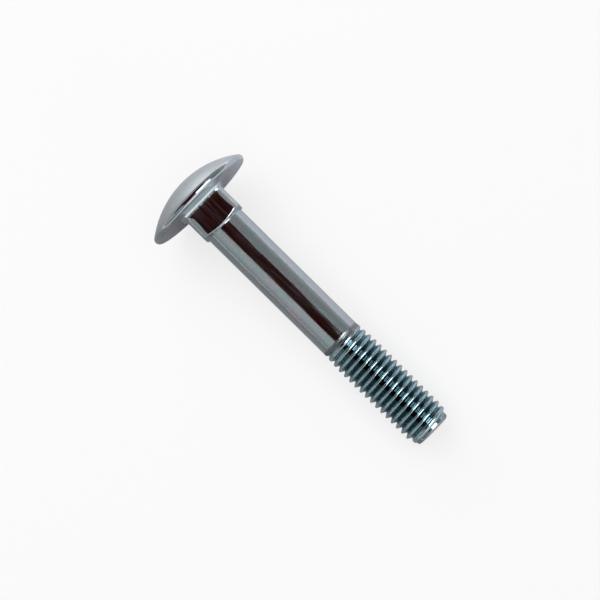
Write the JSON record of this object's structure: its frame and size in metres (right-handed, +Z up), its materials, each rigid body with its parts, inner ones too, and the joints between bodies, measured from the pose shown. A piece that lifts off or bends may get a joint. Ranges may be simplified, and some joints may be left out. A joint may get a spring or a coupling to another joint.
{
  "type": "carriage bolt",
  "caption": "Carriage bolt with a shallow domed head, a square neck under it, a plain reduced shank and a coarse right-hand thread, bright zinc plated.",
  "frame": {"origin": "centre of the bounding box in X and Y, on the surface that the bolt lies on", "axes": "+X runs from the head to the tip along the surface, +Z is up; the bolt lies on its head's rim and on the thread's last full crest, so its own axis drops towards the tip by about 6.7 degrees, and one flat of the neck faces up"},
  "size_m": [0.0852, 0.0298, 0.0296],
  "materials": {
    "zinc_plate": "bright blue-white zinc plating on cold-forged steel, glossy with a fine grain"
  },
  "bodies": {
    "root": {"carriage_bolt": "zinc_plate"}
  },
  "joints": []
}
